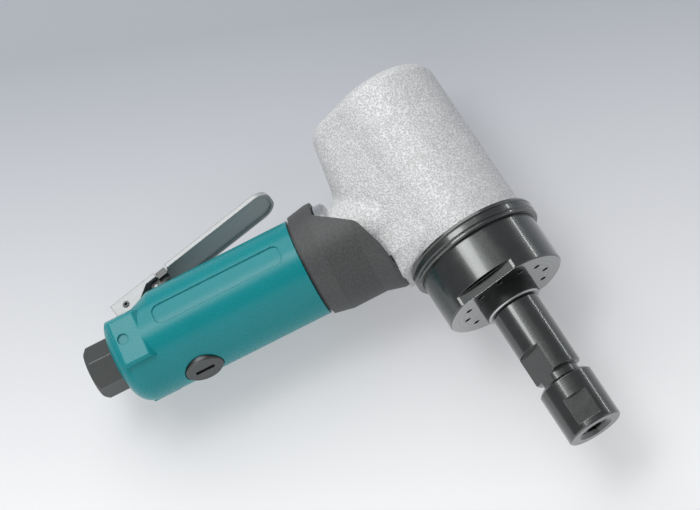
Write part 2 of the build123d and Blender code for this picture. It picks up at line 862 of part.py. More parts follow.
pieces["handle_housing"] = grip_frame * (
    handle - valve_axis * valve_bore - inlet_room - rear_air - front_air - socket)

# Inlet: hexagon bushing, strainer and seal
hexagon = extrude(RegularPolygon(hex_across / 2, 6, major_radius=False), hex_length)
hexagon = Pos(inlet_x, 0, 0) * Rot(hex_turn, 0, 0) * Rot(0, 90, 0) * hexagon
hex_corner = hex_across / sqrt(3) + slip_fit
dome = barrel(
    (inlet_x, 0),
    (inlet_x, hex_corner - hex_chamfer),
    (inlet_x + hex_chamfer, hex_corner),
    (tail_x, hex_corner),
    (tail_x, 0),
)
inlet_seal_x = tail_x + inlet_seal_setback
inlet_shank = rod(shank_thread_radius, tail_x, inlet_front - loose_fit)
thread_end = inlet_x + inlet_depth
screen_front = thread_end + inlet_relief
relief_radius = inlet_radius + inlet_relief_depth
inlet_bore = rod(inlet_radius, inlet_x - over, thread_end) + rod(air_radius, inlet_x, inlet_front)
inlet_bore += rod(relief_radius, thread_end, screen_front)
inlet = (hexagon & dome) + inlet_shank - inlet_bore - seal_groove(shank_thread_radius, inlet_seal_x)
pieces["inlet_bushing"] = grip_frame * inlet
pieces["inlet_o_ring"] = grip_frame * Pos(inlet_seal_x, 0, 0) * seal(shank_thread_radius)
screen = rod(relief_radius - slip_fit, screen_front - screen_sheet, screen_front)
screen_bore = Pos(0, screen_circle, 0) * rod(screen_hole, inlet_x, inlet_front)
screen -= [Rot(360 * i / screen_holes, 0, 0) * screen_bore for i in range(screen_holes)]
pieces["inlet_screen"] = grip_frame * screen

# Valve on the cross axis: bush, seat, stem and spring
valve_frame = grip_frame * valve_axis
pieces["valve_bush"] = valve_frame * ring(stem_radius + running_fit, bush_radius, bush_low, trench_floor)
pieces["valve_seat"] = valve_frame * ring(seat_bore, chamber_radius - slip_fit, seat_height, seat_top)
crown = (grip_frame.inverse() * lever_frame * Location((0, crown_under, 0))).position
stem_top = crown.Y + (valve_x - crown.X) * tan(radians(lever_rest)) - stem_gap
valve_high = seat_height - valve_head_gap
valve_low = valve_high - valve_head_thickness
pieces["valve_stem"] = valve_frame * turned(
    (0, valve_low),
    (valve_head_radius, valve_low),
    (valve_head_radius, valve_high),
    (stem_radius, valve_high),
    (stem_radius, stem_top - stem_tip_length),
    (stem_radius - stem_tip_taper, stem_top),
    (0, stem_top),
)
spring_end = spring_wire / 2 + slip_fit
pieces["valve_spring"] = valve_frame * coil(
    spring_radius, spring_wire, spring_turns, regulator_top + spring_end, valve_low - spring_end)
spring_pitch = (valve_low - regulator_top) / spring_turns
print("least gap between the spring's turns", round(spring_pitch - spring_wire, 2))

# Flow regulator: a slotted plug whose half sleeve turns in front of the air passage
regulator_fit = chamber_radius - running_fit
regulator = turned(
    (0, regulator_face),
    (regulator_head_radius - regulator_edge, regulator_face),
    (regulator_head_radius, regulator_face + regulator_edge),
    (regulator_head_radius, regulator_seat - running_fit),
    (regulator_fit, regulator_seat - running_fit),
    (regulator_fit, regulator_sleeve_top),
    (regulator_fit - regulator_sleeve, regulator_sleeve_top),
    (regulator_fit - regulator_sleeve, regulator_top),
    (0, regulator_top),
)
regulator -= block(
    (-regulator_slot_length / 2, regulator_face - over, -regulator_slot / 2),
    (regulator_slot_length / 2, regulator_face + regulator_slot_depth, regulator_slot / 2),
)
regulator -= block((-far, regulator_top + regulator_sill, -far), (0, far, far))
seal_y = (regulator_seat + regulator_top) / 2
seal_half = ring_section + slip_fit
regulator -= ring(
    regulator_fit - 2 * seal_half, chamber_radius + over, seal_y - seal_half, seal_y + seal_half)
pieces["flow_regulator"] = valve_frame * regulator
regulator_ring = o_ring(regulator_fit - ring_section, ring_section)
pieces["regulator_o_ring"] = valve_frame * Pos(0, seal_y, 0) * regulator_ring


# Throttle lever: a pressed strip with ears at the heel, notches for the latch and a rounded tip
def pressed_bar(plane, half, reach, edge):
    """Long bar through a plane: its outline has a half width, a reach and rounded outer corners."""
    outline = make_face(Polyline((-far, -half), (reach, -half), (reach, half), (-far, half), close=True))
    outline = fillet(outline.vertices().sort_by(Axis.X)[-2:], edge)
    return extrude(plane * outline, 3 * far)


crown_plane = Plane((-far, 0, 0), x_dir=(0, 1, 0), z_dir=(1, 0, 0))
plan_plane = Plane((0, far, 0), x_dir=(1, 0, 0), z_dir=(0, -1, 0))
side_outline = make_face(
    Polyline(
        (-lever_heel, crown_top),
        (lever_reach, crown_top),
        (lever_reach, flange_low),
        (ear_front, flange_low),
        (ear_foot, -ear_radius),
        (-lever_heel, -ear_radius),
        close=True,
    )
)
tip_corner = side_outline.vertices().sort_by(Axis.X)[-2:].sort_by(Axis.Y)[-1]
heel_corner = side_outline.vertices().sort_by(Axis.X)[:2].sort_by(Axis.Y)[0]
side_outline = fillet([tip_corner, heel_corner], lever_crown_edge)
lever = prism(side_outline, lever_half) & pressed_bar(crown_plane, lever_half, crown_top, lever_crown_edge)
lever = lever & pressed_bar(plan_plane, lever_half, lever_reach, lever_tip_corner)
hollow = pressed_bar(crown_plane, inner_half, crown_under, lever_crown_edge - lever_sheet)
hollow = hollow & pressed_bar(
    plan_plane, inner_half, lever_reach - lever_sheet, lever_tip_corner - lever_sheet)
window = block((notch_start, -far, notch_side), (notch_start + notch_length, far, far))
tab = block(
    (latch_u - tab_half, latch_w - tab_drop, tab_inside),
    (latch_u + tab_half, crown_under + lever_sheet / 2, tab_inside + tab_sheet),
)
lever = lever - hollow - window - mirror(window, Plane.XY)
lever = lever + tab + mirror(tab, Plane.XY)
lever -= cross_pin(pivot_pin_radius + running_fit, far)
lever -= cross_pin(latch_pin_radius + press_fit, inner_half, latch_u, latch_w)
pieces["throttle_lever"] = lever_frame * lever
pieces["lever_pin"] = lever_frame * (
    cross_pin(pivot_pin_radius, lever_half + loose_fit) - cross_pin(pivot_pin_bore, far))

# Lock-off latch: a forked tooth on a pin under the lever's crown, with a wing in each notch
latch_frame = lever_frame * Location((latch_u, latch_w, 0))
latch_half = inner_half - latch_side_gap
fork_half = stem_radius + fork_gap
tooth = make_hull(
    Circle(latch_top_radius).edges()
    + Line((-latch_foot / 2, -latch_drop), (latch_foot / 2, latch_foot_rise - latch_drop)).edges()
)
nose = make_face(
    Polyline(
        (0, latch_top_radius),
        (latch_nose, latch_top_radius),
        (latch_nose, latch_top_radius - latch_nose_edge),
        (latch_throat, -latch_throat_drop),
        (latch_foot / 2, latch_foot_rise - latch_drop),
        (0, latch_foot_rise - latch_drop),
        close=True,
    )
)
fork = make_face(
    Polyline(
        (0, latch_top_radius),
        (0, -latch_drop),
        (far, -latch_drop),
        (far, latch_top_radius),
        close=True,
    )
)
tab_room = block((-far, -far, 0), (far, far, tab_sheet + 2 * loose_fit))
tab_room = tab_room & Cylinder(tab_half + tab_drop, far)
tab_room = Pos(0, 0, tab_inside - loose_fit) * tab_room
wing_rear = notch_start - latch_u + loose_fit
wing_top = crown_top - latch_w - latch_wing_sink
wing = block((wing_rear, 0, latch_half - over), (latch_nose, latch_top_radius, latch_wing_reach))
wing += block((wing_rear, 0, notch_side + loose_fit), (latch_nose, wing_top, latch_wing_reach))
latch = prism(nose, latch_half) - prism(fork, fork_half) + prism(tooth, latch_half)
latch = latch + wing + mirror(wing, Plane.XY)
latch = latch - tab_room - mirror(tab_room, Plane.XY) - cross_pin(latch_pin_radius + running_fit, far)
pieces["lock_off_latch"] = latch_frame * latch
pieces["latch_pin"] = latch_frame * cross_pin(latch_pin_radius, latch_half - loose_fit)

os.makedirs("parts", exist_ok=True)
for name, shape in pieces.items():
    export_step(shape, f"parts/{name}.step")
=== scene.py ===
import json
from math import asin, cos, sin, tan, tau

import bmesh
import bpy
from bpy.props import FloatProperty, FloatVectorProperty, IntProperty, PointerProperty
from bpy.types import Operator, Panel, PropertyGroup
from mathutils import Matrix, Vector


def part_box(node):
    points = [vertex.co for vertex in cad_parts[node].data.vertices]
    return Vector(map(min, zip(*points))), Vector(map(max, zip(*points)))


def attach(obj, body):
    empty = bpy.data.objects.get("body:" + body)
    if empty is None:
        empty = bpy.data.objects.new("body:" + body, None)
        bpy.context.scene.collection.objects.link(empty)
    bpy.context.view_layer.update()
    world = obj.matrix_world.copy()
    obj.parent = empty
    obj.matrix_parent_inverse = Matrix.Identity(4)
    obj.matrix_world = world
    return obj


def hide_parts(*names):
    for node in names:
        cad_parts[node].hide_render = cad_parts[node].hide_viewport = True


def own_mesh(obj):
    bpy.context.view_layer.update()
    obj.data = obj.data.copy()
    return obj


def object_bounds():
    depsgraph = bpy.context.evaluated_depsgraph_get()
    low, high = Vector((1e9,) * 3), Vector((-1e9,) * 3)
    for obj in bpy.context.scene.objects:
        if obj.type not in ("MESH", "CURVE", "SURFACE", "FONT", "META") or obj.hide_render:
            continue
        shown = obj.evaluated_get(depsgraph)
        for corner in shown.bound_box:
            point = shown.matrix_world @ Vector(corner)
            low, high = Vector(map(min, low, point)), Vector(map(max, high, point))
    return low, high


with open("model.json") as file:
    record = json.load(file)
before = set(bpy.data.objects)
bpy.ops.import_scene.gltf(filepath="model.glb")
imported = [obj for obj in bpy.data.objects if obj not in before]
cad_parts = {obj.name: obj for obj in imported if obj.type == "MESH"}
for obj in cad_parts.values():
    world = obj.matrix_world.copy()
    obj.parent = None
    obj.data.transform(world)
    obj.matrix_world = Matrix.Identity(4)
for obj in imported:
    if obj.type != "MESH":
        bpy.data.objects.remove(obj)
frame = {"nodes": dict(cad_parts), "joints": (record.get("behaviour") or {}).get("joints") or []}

bl_info = {
    "name": "Air die grinder looks",
    "version": (1, 0, 0),
    "blender": (4, 5, 0),
    "location": "3D View > Sidebar > Grinder",
    "description": "Finishes, neck web, wound valve spring and studio for a right-angle air die grinder",
    "category": "Object",
}

CAD_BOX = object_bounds()
NODES = frame["nodes"]
UP = Vector((0, 0, 1))
BEARINGS = [
    f"{place}_bearing_{part}"
    for place in ("nose", "front", "rear")
    for part in ("outer_ring", "inner_ring", "balls")
]


class GrinderColours(PropertyGroup):
    """Colours of the grinder's finishes."""

    teal: FloatVectorProperty(
        name="Handle", description="Moulded handle",
        default=(0.000, 0.196, 0.216), subtype="COLOR", min=0, max=1)
    teal_pale: FloatVectorProperty(
        name="Handle grain", description="Pale side of the handle's grain",
        default=(0.002, 0.285, 0.308), subtype="COLOR", min=0, max=1)
    collar: FloatVectorProperty(
        name="Collar", description="Moulded collar",
        default=(0.040, 0.042, 0.042), subtype="COLOR", min=0, max=1)
    casting: FloatVectorProperty(
        name="Casting", description="Blasted aluminium",
        default=(0.73, 0.73, 0.735), subtype="COLOR", min=0, max=1)
    # Darker tone in the hollows of the blasted skin: painted shade in the dents, over tone that varies at
    # random.
    casting_pit_shade: FloatVectorProperty(
        name="Casting pits", description="Hollows of the blasted skin",
        default=(0.47, 0.47, 0.47), subtype="COLOR", min=0, max=1)
    black: FloatVectorProperty(
        name="Blackened steel", description="Turned and blackened steel",
        default=(0.082, 0.086, 0.085), subtype="COLOR", min=0, max=1)
    # On the exhaust cap's wrench flats this black is a painted dark reflection.
    jet: FloatVectorProperty(
        name="Deep black", description="Hub, collet and the exhaust cap's wrench flats",
        default=(0.016, 0.017, 0.017), subtype="COLOR", min=0, max=1)
    worn: FloatVectorProperty(
        name="Worn edge", description="Steel that shows at rubbed edges",
        default=(0.22, 0.228, 0.225), subtype="COLOR", min=0, max=1)
    dark: FloatVectorProperty(
        name="Dark steel", description="Phosphated steel",
        default=(0.125, 0.131, 0.129), subtype="COLOR", min=0, max=1)
    plated: FloatVectorProperty(
        name="Plated steel", description="Pressed lever and polished faces",
        default=(0.52, 0.53, 0.53), subtype="COLOR", min=0, max=1)
    bright: FloatVectorProperty(
        name="Bright steel", description="Machined steel",
        default=(0.62, 0.62, 0.63), subtype="COLOR", min=0, max=1)
    brass: FloatVectorProperty(
        name="Brass", description="Turned brass",
        default=(0.62, 0.43, 0.16), subtype="COLOR", min=0, max=1)
    rubber: FloatVectorProperty(
        name="Rubber", description="Seals",
        default=(0.018, 0.018, 0.018), subtype="COLOR", min=0, max=1)
    felt: FloatVectorProperty(
        name="Felt", description="Muffler",
        default=(0.30, 0.28, 0.25), subtype="COLOR", min=0, max=1)
    laminate: FloatVectorProperty(
        name="Laminate", description="Rotor vanes",
        default=(0.26, 0.15, 0.07), subtype="COLOR", min=0, max=1)


class GrinderSizes(PropertyGroup):
    """Sizes of the surface detail, the neck web and the valve spring."""

    blast_size: FloatProperty(
        name="Blast", description="Width of one dent of the blasted skin", default=0.00065, unit="LENGTH")
    patch_size: FloatProperty(
        name="Patch", description="Width of a paler patch of the blasted skin",
        default=0.00585, unit="LENGTH")
    blast_depth: FloatProperty(
        name="Blast depth", description="Depth of the blasted skin", default=0.00009, unit="LENGTH")
    grain_size: FloatProperty(
        name="Grain", description="Width of the mouldings' grain", default=0.00055, unit="LENGTH")
    cloud_size: FloatProperty(
        name="Cloud", description="Width of a paler cloud in the handle's colour",
        default=0.0165, unit="LENGTH")
    grain_depth: FloatProperty(
        name="Grain depth", description="Depth of the mouldings' grain", default=0.00005, unit="LENGTH")
    lathe_pitch: FloatProperty(
        name="Lathe lines", description="Spacing of the blackened parts' tool lines",
        default=0.0005, unit="LENGTH")
    lathe_depth: FloatProperty(
        name="Lathe depth", description="Depth of the blackened parts' tool lines",
        default=0.000012, unit="LENGTH")
    stain_size: FloatProperty(
        name="Stain", description="Width of a stain on black steel", default=0.004, unit="LENGTH")
    phosphate_size: FloatProperty(
        name="Phosphate", description="Width of the phosphated steel's grain", default=0.0008, unit="LENGTH")
    phosphate_depth: FloatProperty(
        name="Phosphate depth", description="Depth of the phosphated steel's grain",
        default=0.000012, unit="LENGTH")
    brush_size: FloatProperty(
        name="Brushing", description="Width of the lever's brushed lines", default=0.0006, unit="LENGTH")
    brush_depth: FloatProperty(
        name="Brushing depth", description="Depth of the lever's brushed lines",
        default=0.000008, unit="LENGTH")
    fine_pitch: FloatProperty(
        name="Fine lines", description="Spacing of the bright parts' tool lines",
        default=0.0004, unit="LENGTH")
    fine_depth: FloatProperty(
        name="Fine depth", description="Depth of the bright parts' tool lines",
        default=0.000006, unit="LENGTH")
    haze_size: FloatProperty(
        name="Haze", description="Width of a dull patch on bright steel", default=0.003, unit="LENGTH")
    tarnish_size: FloatProperty(
        name="Tarnish", description="Width of a dull patch on brass", default=0.002, unit="LENGTH")
    bloom_size: FloatProperty(
        name="Bloom", description="Width of a dusty patch on rubber", default=0.0015, unit="LENGTH")
    fibre_size: FloatProperty(
        name="Fibres", description="Width of the felt's fibres", default=0.0004, unit="LENGTH")
    fibre_depth: FloatProperty(
        name="Fibre depth", description="Depth between the felt's fibres", default=0.0002, unit="LENGTH")
    weave_size: FloatProperty(
        name="Weave", description="Width of the laminate's fibres", default=0.0005, unit="LENGTH")
    edge: FloatProperty(
        name="Edge", description="Width over which an edge is rubbed", default=0.0005, unit="LENGTH")
    crisp_edge: FloatProperty(
        name="Crisp edge", description="Width over which an edge of black steel is rounded",
        default=0.0003, unit="LENGTH")
    oil: FloatProperty(
        name="Oil", description="Clear film on the blackened steel", default=0.7, min=0, max=1,
        subtype="FACTOR")
    web_low: FloatProperty(
        name="Web foot", description="Lower end of the web, above the lock ring",
        default=0.0889, unit="LENGTH")
    web_high: FloatProperty(
        name="Web top", description="Upper end of the web, in the head's boss",
        default=0.0970, unit="LENGTH")
    web_round: FloatProperty(
        name="Web round", description="Rounding of the web's lower sides", default=0.0066, unit="LENGTH")
    web_steps: IntProperty(
        name="Web steps", description="Steps of the web's rounding", default=10, min=1)
    boss_slope: FloatProperty(
        name="Boss slope", description="Lean of the boss's back", default=0.19199, subtype="ANGLE")
    boss_apart: FloatProperty(
        name="Boss reach",
        description="Spindle's axis to the middle of the boss's round end, at the head's top",
        default=0.0159, unit="LENGTH")
    boss_radius: FloatProperty(
        name="Boss radius", description="Round end of the boss", default=0.0145, unit="LENGTH")
    drum_radius: FloatProperty(
        name="Drum radius", description="Circle that the boss's sides leave from",
        default=0.0237, unit="LENGTH")
    collar_face: FloatProperty(
        name="Collar face", description="Spindle's axis to the collar's front at the web's top",
        default=0.0284, unit="LENGTH")
    collar_lean: FloatProperty(
        name="Collar lean", description="Lean of the collar's front", default=0.12217, subtype="ANGLE")
    valve_place: FloatVectorProperty(
        name="Valve", description="Point on the valve's axis",
        default=(-0.111165, 0.122549, 0.0), subtype="TRANSLATION", unit="LENGTH")
    spring_radius: FloatProperty(
        name="Spring radius", description="Valve's axis to the middle of the wire",
        default=0.0033, unit="LENGTH")
    spring_wire: FloatProperty(
        name="Spring wire", description="Thickness of the spring's wire", default=0.0008, unit="LENGTH")
    spring_turns: IntProperty(
        name="Spring turns", description="Turns of the valve spring", default=5, min=1)
    spring_steps: IntProperty(
        name="Spring steps", description="Steps in one turn", default=40, min=8)
    spring_sides: IntProperty(
        name="Spring sides", description="Sides of the wire", default=12, min=6)
    spring_shut: FloatProperty(
        name="Spring shut", description="Length of the spring at full throttle, as a share",
        default=0.742, subtype="FACTOR")


class GrinderStudio(PropertyGroup):
    """Camera, floor and lamps. A lamp's place is given right, up the picture and above the floor."""

    camera_place: FloatVectorProperty(
        name="Camera", description="Place of the camera",
        default=(-0.00973, -0.22857, 0.97803), subtype="TRANSLATION", unit="LENGTH")
    camera_turn: FloatProperty(
        name="Turn", description="Turn about the upright", default=0.0958, subtype="ANGLE")
    camera_tilt: FloatProperty(
        name="Tilt", description="Tilt away from straight down", default=0.3354, subtype="ANGLE")
    camera_roll: FloatProperty(
        name="Roll", description="Roll about the line of sight", default=-0.6731, subtype="ANGLE")
    camera_reach: FloatProperty(
        name="Reach", description="How far the camera sees", default=20.0, unit="LENGTH")
    lens: FloatProperty(name="Lens", description="Focal length", default=136.4, unit="CAMERA")
    # The floor's darker far tone, its fade and its skew to the left are painted shade, a falloff of light
    # painted into the floor.
    floor_far: FloatVectorProperty(
        name="Far floor", description="Floor at the top of the picture",
        default=(0.405, 0.425, 0.465), subtype="COLOR")
    floor_near: FloatVectorProperty(
        name="Near floor", description="Floor at the bottom of the picture",
        default=(0.945, 0.95, 0.96), subtype="COLOR")
    floor_size: FloatProperty(name="Floor", description="Side of the floor", default=6.0, unit="LENGTH")
    glow: FloatProperty(
        name="Glow", description="Share of the floor's tone that no shadow takes away",
        default=0.40, subtype="FACTOR")
    fade: FloatProperty(
        name="Fade", description="Distance over which the floor darkens", default=0.205, unit="LENGTH")
    skew: FloatProperty(
        name="Skew", description="How far the floor's fade turns to the left of the picture",
        default=0.12, subtype="FACTOR")
    key_place: FloatVectorProperty(
        name="Key place", description="Place of the key lamp",
        default=(-0.36, 0.63, 0.70), subtype="TRANSLATION", unit="LENGTH")
    key_size: FloatVectorProperty(
        name="Key size", description="Width and height of the key lamp",
        default=(1.00, 1.00), size=2, unit="LENGTH")
    key_power: FloatProperty(name="Key", description="Power of the key lamp", default=6.9, unit="POWER")
    top_reach: FloatProperty(
        name="Top reach",
        description="Distance of the lamp overhead, along the line of sight that the floor mirrors",
        default=0.95, unit="LENGTH")
    top_place: FloatVectorProperty(
        name="Top place", description="Shift of the lamp overhead from that line",
        default=(-0.09, -0.07, 0.0), subtype="TRANSLATION", unit="LENGTH")
    top_size: FloatVectorProperty(
        name="Top size", description="Width and height of the lamp overhead",
        default=(0.52, 0.24), size=2, unit="LENGTH")
    top_power: FloatProperty(
        name="Top", description="Power of the lamp overhead", default=2.3, unit="POWER")
    fill_place: FloatVectorProperty(
        name="Fill place", description="Place of the low front lamp",
        default=(0.0, -0.9, 0.45), subtype="TRANSLATION", unit="LENGTH")
    fill_size: FloatVectorProperty(
        name="Fill size", description="Width and height of the low front lamp",
        default=(1.20, 1.20), size=2, unit="LENGTH")
    fill_power: FloatProperty(
        name="Fill", description="Power of the low front lamp", default=4.3, unit="POWER")
    strip_place: FloatVectorProperty(
        name="Strip place", description="Place of the narrow side lamp",
        default=(0.66, 0.74, 0.06), subtype="TRANSLATION", unit="LENGTH")
    strip_size: FloatVectorProperty(
        name="Strip size", description="Width and height of the narrow side lamp",
        default=(0.50, 0.04), size=2, unit="LENGTH")
    strip_power: FloatProperty(
        name="Strip", description="Power of the narrow side lamp", default=0.70, unit="POWER")
    sky_colour: FloatVectorProperty(
        name="Sky colour", description="Colour of the even light",
        default=(0.95, 0.97, 1.0), subtype="COLOR", min=0, max=1)
    sky: FloatProperty(
        name="Sky", description="Strength of the even light", default=0.32, min=0, subtype="FACTOR")


class Value:
    """A shader socket that can be used in an expression."""

    def __init__(self, finish, socket):
        self.finish = finish
        self.socket = socket

    def math(self, operation, *terms):
        return self.finish.add("ShaderNodeMath", {"operation": operation}, dict(enumerate(terms)))

    def __add__(self, other):
        return self.math("ADD", self, other)

    def __rsub__(self, other):
        return self.math("SUBTRACT", other, self)

    def __mul__(self, other):
        return self.math("MULTIPLY", self, other)

    def __pow__(self, other):
        return self.math("POWER", self, other)

    __radd__ = __add__
    __rmul__ = __mul__


class Finish:
    """One material, built from nodes."""

    def __init__(self, name):
        self.material = bpy.data.materials.new(name)
        self.material.use_nodes = True
        self.tree = self.material.node_tree
        self.tree.nodes.clear()
        self.place = self.add("ShaderNodeTexCoord", output="Object")

    def add(self, kind, settings=None, sockets=None, output=0):
        """Add a node: its settings come first, then the values or links of its sockets."""
        node = self.tree.nodes.new(kind)
        for key, setting in (settings or {}).items():
            setattr(node, key, setting)
        for key, value in (sockets or {}).items():
            if isinstance(value, Value):
                self.tree.links.new(value.socket, node.inputs[key])
            else:
                node.inputs[key].default_value = value
        return Value(self, node.outputs[output]) if node.outputs else node

    def noise(self, size, detail=2.0, place=None):
        """Cloudy value from 0 to 1 with lumps of a size."""
        return self.add(
            "ShaderNodeTexNoise", None, {"Vector": place or self.place, "Scale": 1 / size, "Detail": detail})

    def dents(self, size, smoothness=0.6):
        """Distance from the nearest of many scattered points, about 0 to 1."""
        return self.add(
            "ShaderNodeTexVoronoi", {"feature": "SMOOTH_F1"},
            {"Vector": self.place, "Scale": 1 / size, "Smoothness": smoothness})

    def stretched(self, scale):
        """The place with its axes scaled, so that a pattern is drawn out."""
        return self.add("ShaderNodeMapping", None, {"Vector": self.place, "Scale": scale})

    def between(self, value, low, high):
        """Value moved so that low becomes 0 and high becomes 1, and kept there."""
        return self.add("ShaderNodeMapRange", None, {"Value": value, "From Min": low, "From Max": high})

    def below(self, value, limit):
        """Mask that is 1 where a value is under a limit."""
        return value.math("LESS_THAN", value, limit)

    def mix(self, share, first, second):
        """Colour between two colours."""
        colours = [tone if isinstance(tone, Value) else (*tone, 1) for tone in (first, second)]
        return self.add(
            "ShaderNodeMix", {"data_type": "RGBA"}, {0: share, 6: colours[0], 7: colours[1]}, output=2)

    def soft_edge(self, radius, samples=6):
        """Normal that rounds the edges over."""
        return self.add("ShaderNodeBevel", {"samples": samples}, {"Radius": radius})

    def edges(self, radius):
        """Mask that is 1 on edges and 0 on open faces."""
        plain = self.add("ShaderNodeNewGeometry", output="Normal")
        kept = self.add(
            "ShaderNodeVectorMath", {"operation": "DOT_PRODUCT"}, {0: plain, 1: self.soft_edge(radius)},
            output="Value")
        return self.between(1 - kept, low=0.01, high=0.12)

    def axes(self):
        """The three coordinates of the place."""
        node = self.add("ShaderNodeSeparateXYZ", None, {0: self.place}).socket.node
        return [Value(self, socket) for socket in node.outputs]

    def radius(self):
        """Distance from the spindle's axis."""
        across, _, up = self.axes()
        return (across * across + up * up) ** 0.5

    def lathe(self, pitch):
        """Tool lines that run round the spindle's axis."""
        rings = self.add("ShaderNodeCombineXYZ", None, {0: self.radius(), 1: self.axes()[1]})
        return self.noise(pitch, detail=1.0, place=rings)

    def bump(self, height, depth, normal=None):
        """Normal raised by a height."""
        sockets = {"Height": height, "Distance": depth, "Strength": 1.0}
        if normal:
            sockets["Normal"] = normal
        return self.add("ShaderNodeBump", None, sockets)

    def shade(self, **sockets):
        """Close the material with its surface shader."""
        named = {key.replace("_", " ").title().replace("Ior", "IOR"): value for key, value in sockets.items()}
        surface = self.add("ShaderNodeBsdfPrincipled", None, named)
        self.add("ShaderNodeOutputMaterial", None, {"Surface": surface})
        return self.material


def colour(context, name):
    """One of the finishes' colours."""
    return tuple(getattr(context.scene.grinder_colours, name))


def toned(base, share):
    """A colour made darker, or paler with a share over 1."""
    return tuple(share * part for part in base)


def dress(material, *names):
    """Give CAD nodes a finish."""
    for name in names:
        slots = NODES[name].data.materials
        slots.clear()
        slots.append(material)


def make_piece(context, name, shape, material, sharp):
    """Make a closed shape a piece, smooth but for its edges over an angle."""
    bmesh.ops.recalc_face_normals(shape, faces=shape.faces)
    mesh = bpy.data.meshes.new(name)
    shape.to_mesh(mesh)
    shape.free()
    mesh.shade_smooth()
    mesh.set_sharp_from_angle(angle=sharp)
    mesh.materials.append(material)
    piece = bpy.data.objects.new(name, mesh)
    context.collection.objects.link(piece)
    return piece


def blackened(context, finish):
    """Tool lines, mask of rubbed edges, tone, roughness and normal of turned and blackened steel; the paler
    rubbed edges are partly wear and partly a painted highlight on the chamfers.
    """
    sizes = context.scene.grinder_sizes
    lines = finish.lathe(sizes.lathe_pitch)
    stain = finish.noise(sizes.stain_size, detail=4.0)
    # Paler edges: partly wear, partly a painted highlight on the chamfers.
    rubbed = finish.edges(sizes.edge) * (0.35 + stain * 0.5)
    tone = finish.mix(stain * 0.5, colour(context, "black"), colour(context, "dark"))
    roughness = 0.20 + lines * 0.08 + stain * 0.08
    normal = finish.bump(lines, sizes.lathe_depth, finish.soft_edge(sizes.crisp_edge))
    return lines, rubbed, tone, roughness, normal


class GRINDER_OT_handle(Operator):
    """Teal moulding with a fine satin grain"""

    bl_idname = "grinder.handle"
    bl_label = "Handle"

    def execute(self, context):
        sizes = context.scene.grinder_sizes
        pale = colour(context, "teal_pale")
        finish = Finish("teal_moulding")
        grain = finish.noise(sizes.grain_size, detail=3.0)
        clouds = finish.noise(sizes.cloud_size)
        rubbed = finish.edges(sizes.edge)
        tint = finish.mix(grain * 0.6 + clouds * 0.3, colour(context, "teal"), pale)
        dress(
            finish.shade(
                base_color=finish.mix(rubbed * 0.35, tint, pale),
                roughness=0.16 + grain * 0.18 + clouds * 0.05,
                specular_ior_level=0.30,
                normal=finish.bump(grain, 0.5 * sizes.grain_depth, finish.soft_edge(sizes.edge)),
            ),
            "handle_housing",
        )
        return {"FINISHED"}


class GRINDER_OT_collar(Operator):
    """Dark grey moulding with a matte grain"""

    bl_idname = "grinder.collar"
    bl_label = "Collar"

    def execute(self, context):
        sizes = context.scene.grinder_sizes
        base = colour(context, "collar")
        finish = Finish("collar_moulding")
        grain = finish.noise(sizes.grain_size, detail=3.0)
        rubbed = finish.edges(sizes.edge)
        dress(
            finish.shade(
                base_color=finish.mix(
                    finish.between(grain, low=0.35, high=0.75) + rubbed * 0.5, base, toned(base, 2.2)),
                roughness=0.42 + grain * 0.2,
                normal=finish.bump(grain, 1.6 * sizes.grain_depth, finish.soft_edge(sizes.edge)),
            ),
            "grip_collar",
        )
        return {"FINISHED"}


class GRINDER_OT_casting(Operator):
    """Blasted aluminium skin of the motor housing and the web under its neck"""

    bl_idname = "grinder.casting"
    bl_label = "Casting"

    def execute(self, context):
        sizes = context.scene.grinder_sizes
        finish = Finish("blasted_casting")
        dents = finish.dents(1.05 * sizes.blast_size)
        lumps = finish.noise(0.9 * sizes.blast_size)
        patches = finish.noise(sizes.patch_size)
        skin = finish.between(lumps * 0.55 + dents * 0.5 + patches * 0.10, low=0.42, high=0.69)
        dress(
            finish.shade(
                # The skin mask takes the low dents of the bump towards the pit colour: painted shade in the
                # dents, with random paler patches.
                base_color=finish.mix(skin, colour(context, "casting_pit_shade"), colour(context, "casting")),
                metallic=0.12,
                roughness=0.60 - skin * 0.14,
                normal=finish.bump(skin, sizes.blast_depth, finish.soft_edge(sizes.edge)),
            ),
            "motor_housing",
        )
        piece = make_piece(context, "neck_web", self.web(sizes), finish.material, sharp=0.6)
        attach(piece, "body")
        return {"FINISHED"}

    def web(self, sizes):
        """Web that carries the boss's sides down to the lock ring, as far out as the collar."""
        flatness, merge = 0.02, 1e-6
        head_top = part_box("motor_housing")[1].y
        shape = bmesh.new()
        for height in (sizes.web_low, sizes.web_high):
            apart = sizes.boss_apart + (head_top - height) * tan(sizes.boss_slope)
            lean = asin((sizes.drum_radius - sizes.boss_radius) / apart)
            near_x, near_z = -sizes.drum_radius * sin(lean), sizes.drum_radius * cos(lean)
            far_x = -sizes.collar_face - (sizes.web_high - height) * tan(sizes.collar_lean)
            far_z = near_z + (far_x - near_x) * tan(lean)
            for x, z in ((near_x, near_z), (far_x, far_z), (far_x, -far_z), (near_x, -near_z)):
                shape.verts.new((x, height, z))
        bmesh.ops.convex_hull(shape, input=shape.verts)
        bmesh.ops.dissolve_limit(shape, angle_limit=flatness, verts=shape.verts, edges=shape.edges)
        lower_sides = [
            edge for edge in shape.edges
            if all(vert.co.y < sizes.web_low + sizes.edge for vert in edge.verts)
            and edge.verts[0].co.z * edge.verts[1].co.z > 0
        ]
        bmesh.ops.bevel(
            shape, geom=lower_sides, offset=sizes.web_round, offset_type="OFFSET", affect="EDGES",
            segments=sizes.web_steps, profile=0.5, material=-1)
        bmesh.ops.remove_doubles(shape, verts=shape.verts, dist=merge)
        return shape


